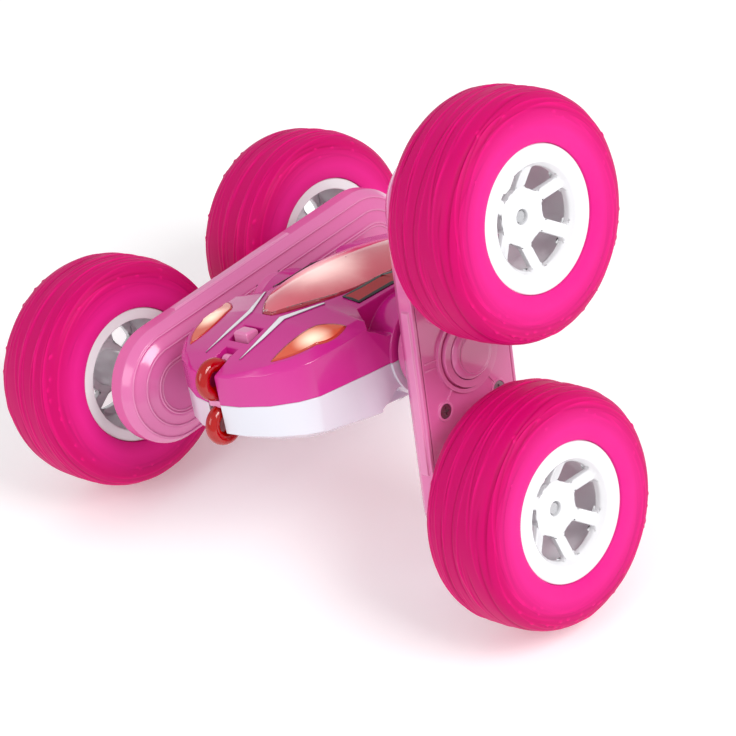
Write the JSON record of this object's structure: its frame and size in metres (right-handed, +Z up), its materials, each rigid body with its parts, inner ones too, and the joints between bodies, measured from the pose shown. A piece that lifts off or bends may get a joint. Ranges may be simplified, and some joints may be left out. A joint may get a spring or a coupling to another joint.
{
  "type": "rc stunt car",
  "caption": "Double-sided radio-controlled stunt car: a two-tone body pivoted between two endlessly turning wheel arms with big soft tyres, lamps and a clear canopy.",
  "frame": {"origin": "centre of the bounding box on the ground plane, under the car as it stands on three tyres", "axes": "+Z up, the nose points to -Y, +X is the raised near side; the cross pivot leans 17.09 degrees up from +X towards +Z"},
  "size_m": [0.1714, 0.145, 0.1414],
  "materials": {
    "tyre_pink": "soft moulded rubber, satin",
    "rim_white": "gloss white",
    "arm_pink": "gloss light pink",
    "shell_magenta": "gloss magenta",
    "shell_white": "gloss white",
    "canopy_tint": "clear salmon tint",
    "lamp_amber": "clear amber",
    "ring_red": "clear red, polished",
    "trim_white": "gloss white inlay",
    "badge_blank": "blank red plate, dark edge",
    "gear_nylon": "natural nylon",
    "steel": "bright",
    "brass": "bright",
    "black_plastic": "matt black",
    "board_green": "solder mask",
    "battery_wrap": "shrink wrap",
    "led_clear": "clear epoxy"
  },
  "bodies": {
    "chassis": {"upper_shell": "shell_magenta", "lower_shell": "shell_white", "canopy_lens": "canopy_tint", "belly_cover": "ring_red", "side_lamps": "lamp_amber", "nose_ring_upper": "ring_red", "nose_ring_lower": "ring_red", "nose_bar": "arm_pink", "switch_housing": "black_plastic", "trim_stripes": "trim_white", "side_badges": "badge_blank", "circuit_board": "board_green", "battery_pack": "battery_wrap", "lights": "led_clear", "body_screws": "steel", "charging_socket": "black_plastic"},
    "power_switch": {"switch_knob": "arm_pink"},
    "far_arm": {"far_arm_shell": "arm_pink", "far_arm_cover": "arm_pink", "far_hub_cap": "arm_pink", "far_arm_screws": "steel", "far_motor": "steel", "far_idler_pins": "steel", "far_axle_bushes": "brass", "far_pivot_clip": "black_plastic"},
    "far_wheel_front": {"far_tyre_front": "tyre_pink", "far_rim_front": "rim_white", "far_axle_front": "steel", "far_driven_gear_front": "gear_nylon"},
    "far_wheel_rear": {"far_tyre_rear": "tyre_pink", "far_rim_rear": "rim_white", "far_axle_rear": "steel", "far_driven_gear_rear": "gear_nylon"},
    "far_idler_front": {"far_idler_gear_front": "gear_nylon"},
    "far_carrier_front": {"far_carrier_gear_front": "gear_nylon"},
    "far_idler_rear": {"far_idler_gear_rear": "gear_nylon"},
    "far_carrier_rear": {"far_carrier_gear_rear": "gear_nylon"},
    "far_pinion": {"far_motor_pinion": "brass"},
    "near_arm": {"near_arm_shell": "arm_pink", "near_arm_cover": "arm_pink", "near_hub_cap": "arm_pink", "near_arm_screws": "steel", "near_motor": "steel", "near_idler_pins": "steel", "near_axle_bushes": "brass", "near_pivot_clip": "black_plastic"},
    "near_wheel_front": {"near_tyre_front": "tyre_pink", "near_rim_front": "rim_white", "near_axle_front": "steel", "near_driven_gear_front": "gear_nylon"},
    "near_wheel_rear": {"near_tyre_rear": "tyre_pink", "near_rim_rear": "rim_white", "near_axle_rear": "steel", "near_driven_gear_rear": "gear_nylon"},
    "near_idler_front": {"near_idler_gear_front": "gear_nylon"},
    "near_carrier_front": {"near_carrier_gear_front": "gear_nylon"},
    "near_idler_rear": {"near_idler_gear_rear": "gear_nylon"},
    "near_carrier_rear": {"near_carrier_gear_rear": "gear_nylon"},
    "near_pinion": {"near_motor_pinion": "brass"}
  },
  "joints": [
    {"name": "power_switch_slide", "type": "slide", "parent": "chassis", "child": "power_switch", "axis": [0.9558, 0, 0.2939], "range_m": [-0.001, 0.001]},
    {"name": "far_arm_pivot", "type": "hinge", "parent": "chassis", "child": "far_arm", "pos_m": [-0.00567, 0, 0.05226], "axis": [0.9558, 0, 0.2939], "continuous": true},
    {"name": "far_front_wheel_spin", "type": "hinge", "parent": "far_arm", "child": "far_wheel_front", "pos_m": [-0.0656, -0.0395, 0.03383], "axis": [0.9558, 0, 0.2939], "continuous": true},
    {"name": "far_rear_wheel_spin", "type": "hinge", "parent": "far_arm", "child": "far_wheel_rear", "pos_m": [-0.0656, 0.0395, 0.03383], "axis": [0.9558, 0, 0.2939], "continuous": true},
    {"name": "far_idler_front_spin", "type": "hinge", "parent": "far_arm", "child": "far_idler_front", "pos_m": [-0.04132, -0.0095, 0.0413], "axis": [0.9558, 0, 0.2939], "continuous": true},
    {"name": "far_carrier_front_spin", "type": "hinge", "parent": "far_arm", "child": "far_carrier_front", "pos_m": [-0.04132, -0.02325, 0.0413], "axis": [0.9558, 0, 0.2939], "continuous": true},
    {"name": "far_idler_rear_spin", "type": "hinge", "parent": "far_arm", "child": "far_idler_rear", "pos_m": [-0.04132, 0.0095, 0.0413], "axis": [0.9558, 0, 0.2939], "continuous": true},
    {"name": "far_carrier_rear_spin", "type": "hinge", "parent": "far_arm", "child": "far_carrier_rear", "pos_m": [-0.04132, 0.02325, 0.0413], "axis": [0.9558, 0, 0.2939], "continuous": true},
    {"name": "far_pinion_spin", "type": "hinge", "parent": "far_arm", "child": "far_pinion", "pos_m": [-0.04132, 0, 0.0413], "axis": [0.9558, 0, 0.2939], "continuous": true},
    {"name": "near_arm_pivot", "type": "hinge", "parent": "chassis", "child": "near_arm", "pos_m": [-0.00567, 0, 0.05226], "axis": [0.9558, 0, 0.2939], "continuous": true},
    {"name": "near_front_wheel_spin", "type": "hinge", "parent": "near_arm", "child": "near_wheel_front", "pos_m": [0.0656, -0.00855, 0.03383], "axis": [0.9558, 0, 0.2939], "continuous": true},
    {"name": "near_rear_wheel_spin", "type": "hinge", "parent": "near_arm", "child": "near_wheel_rear", "pos_m": [0.04293, 0.00855, 0.10755], "axis": [0.9558, 0, 0.2939], "continuous": true},
    {"name": "near_idler_front_spin", "type": "hinge", "parent": "near_arm", "child": "near_idler_front", "pos_m": [0.03271, -0.00206, 0.05436], "axis": [0.9558, 0, 0.2939], "continuous": true},
    {"name": "near_carrier_front_spin", "type": "hinge", "parent": "near_arm", "child": "near_carrier_front", "pos_m": [0.03666, -0.00503, 0.04153], "axis": [0.9558, 0, 0.2939], "continuous": true},
    {"name": "near_idler_rear_spin", "type": "hinge", "parent": "near_arm", "child": "near_idler_rear", "pos_m": [0.02726, 0.00206, 0.07209], "axis": [0.9558, 0, 0.2939], "continuous": true},
    {"name": "near_carrier_rear_spin", "type": "hinge", "parent": "near_arm", "child": "near_carrier_rear", "pos_m": [0.02331, 0.00503, 0.08492], "axis": [0.9558, 0, 0.2939], "continuous": true},
    {"name": "near_pinion_spin", "type": "hinge", "parent": "near_arm", "child": "near_pinion", "pos_m": [0.02998, 0, 0.06322], "axis": [0.9558, 0, 0.2939], "continuous": true}
  ],
  "couplings": [
    {"joint": "far_rear_wheel_spin", "follows": "far_front_wheel_spin", "ratio": 1},
    {"joint": "far_idler_front_spin", "follows": "far_front_wheel_spin", "ratio": 1.3846},
    {"joint": "far_carrier_front_spin", "follows": "far_front_wheel_spin", "ratio": -1.2414},
    {"joint": "far_idler_rear_spin", "follows": "far_front_wheel_spin", "ratio": 1.3846},
    {"joint": "far_carrier_rear_spin", "follows": "far_front_wheel_spin", "ratio": -1.2414},
    {"joint": "far_pinion_spin", "follows": "far_front_wheel_spin", "ratio": -3},
    {"joint": "near_rear_wheel_spin", "follows": "near_front_wheel_spin", "ratio": 1},
    {"joint": "near_idler_front_spin", "follows": "near_front_wheel_spin", "ratio": 1.3846},
    {"joint": "near_carrier_front_spin", "follows": "near_front_wheel_spin", "ratio": -1.2414},
    {"joint": "near_idler_rear_spin", "follows": "near_front_wheel_spin", "ratio": 1.3846},
    {"joint": "near_carrier_rear_spin", "follows": "near_front_wheel_spin", "ratio": -1.2414},
    {"joint": "near_pinion_spin", "follows": "near_front_wheel_spin", "ratio": -3}
  ]
}
